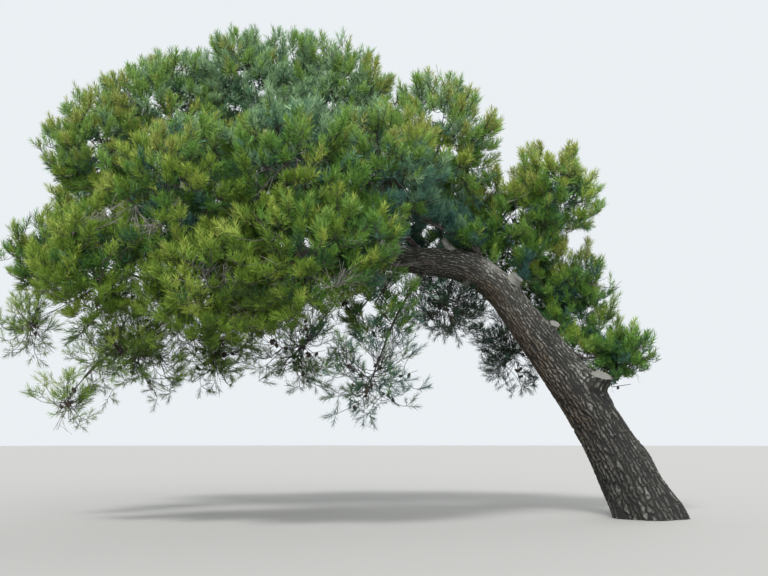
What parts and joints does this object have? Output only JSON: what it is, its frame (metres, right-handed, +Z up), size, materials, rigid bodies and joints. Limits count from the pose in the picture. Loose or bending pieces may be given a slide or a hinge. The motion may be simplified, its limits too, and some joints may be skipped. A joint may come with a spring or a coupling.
{
  "type": "pine tree",
  "caption": "Whole leaning pine tree: a bent trunk with sawn stubs, rooted at a flat cut, and a wide domed crown of needle foliage.",
  "frame": {"origin": "middle of the flat cut at ground level, under the trunk", "axes": "+Z up; the trunk leans and the crown reaches towards -X; -Y is the side that the picture shows"},
  "size_m": [8.2401, 4.8192, 6.1803],
  "materials": {
    "bark": "deeply furrowed grey-brown bark",
    "bough_bark": "thin scaly grey bark",
    "sawn_wood": "weathered saw cut with rings",
    "dead_wood": "bare weathered dead wood",
    "needles": "fine green needles in tufts"
  },
  "bodies": {
    "root": {"trunk": "bark", "bough_outer_left": "bough_bark", "bough_front_left": "bough_bark", "bough_back_left": "bough_bark", "bough_top_left": "bough_bark", "bough_top": "bough_bark", "bough_top_right": "bough_bark", "bough_shoulder": "bough_bark", "bough_far_right": "bough_bark", "bough_right_low": "bough_bark", "bough_right_tip": "bough_bark", "bough_front_right": "bough_bark", "bough_front_mid": "bough_bark", "bough_front_low": "bough_bark", "bough_front_high_left": "bough_bark", "bough_front_high": "bough_bark", "bough_front_high_right": "bough_bark", "bough_back_mid_left": "bough_bark", "bough_back_mid_right": "bough_bark", "bough_back_right": "bough_bark", "bough_back_low": "bough_bark", "bough_hang_mid": "bough_bark", "bough_hang_front_left": "bough_bark", "bough_hang_left": "bough_bark", "stub_low": "sawn_wood", "stub_knot": "sawn_wood", "stub_top": "sawn_wood", "stub_under": "sawn_wood", "dead_spur": "dead_wood", "foliage_left_tip": "needles", "foliage_outer_left": "needles", "foliage_front_left": "needles", "foliage_back_left": "needles", "foliage_top_left": "needles", "foliage_top": "needles", "foliage_top_right": "needles", "foliage_shoulder": "needles", "foliage_far_right": "needles", "foliage_right_mid": "needles", "foliage_right_low": "needles", "foliage_right_tip": "needles", "foliage_hang_right": "needles", "foliage_hang_inner": "needles", "foliage_front_right": "needles", "foliage_front_mid": "needles", "foliage_front_low": "needles", "foliage_front_high_left": "needles", "foliage_front_high": "needles", "foliage_front_high_right": "needles", "foliage_back_mid_left": "needles", "foliage_back_mid_right": "needles", "foliage_back_right": "needles", "foliage_back_low": "needles", "foliage_under_end": "needles", "foliage_hang_mid": "needles", "foliage_hang_centre": "needles", "foliage_hang_mid_left": "needles", "foliage_hang_front_left": "needles", "foliage_hang_left": "needles", "foliage_hang_tip": "needles"}
  },
  "joints": []
}
